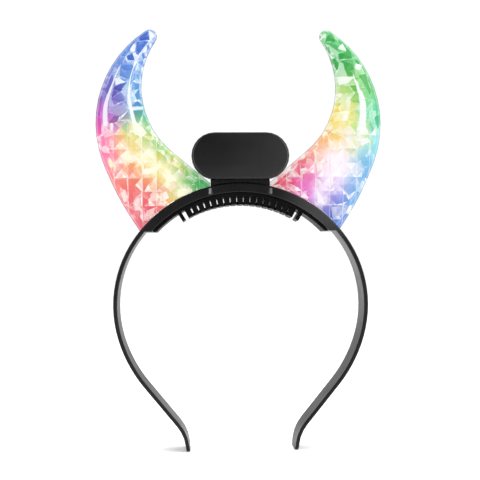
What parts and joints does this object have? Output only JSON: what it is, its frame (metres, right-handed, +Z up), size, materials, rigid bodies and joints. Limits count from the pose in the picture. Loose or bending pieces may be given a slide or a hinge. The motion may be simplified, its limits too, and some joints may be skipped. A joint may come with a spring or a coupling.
{
  "type": "light-up devil horns headband",
  "caption": "Devil horns headband: clear faceted rainbow horns on a thin black band with a grip comb, battery case and blank pill-shaped front plate.",
  "frame": {"origin": "on the ground, midway between the two foot tips", "axes": "+Z up from the feet to the horn tips, -Y the way the front plate faces, X across the head"},
  "size_m": [0.1574, 0.0252, 0.23],
  "materials": {
    "black_plastic": "satin black moulded plastic",
    "plate_plastic": "smooth satin black plastic",
    "clear_left": "clear faceted plastic lit in rainbow colours, warm at its foot",
    "clear_right": "clear faceted plastic lit in rainbow colours, cool at its foot",
    "lamp_lens": "glossy lamp lens"
  },
  "bodies": {
    "root": {"headband": "black_plastic", "comb": "black_plastic", "battery_case": "black_plastic", "face_plate": "plate_plastic", "horn_left": "clear_left", "horn_right": "clear_right", "lamp_left_1": "lamp_lens", "lamp_left_2": "lamp_lens", "lamp_left_3": "lamp_lens", "lamp_right_1": "lamp_lens", "lamp_right_2": "lamp_lens", "lamp_right_3": "lamp_lens"}
  },
  "joints": []
}
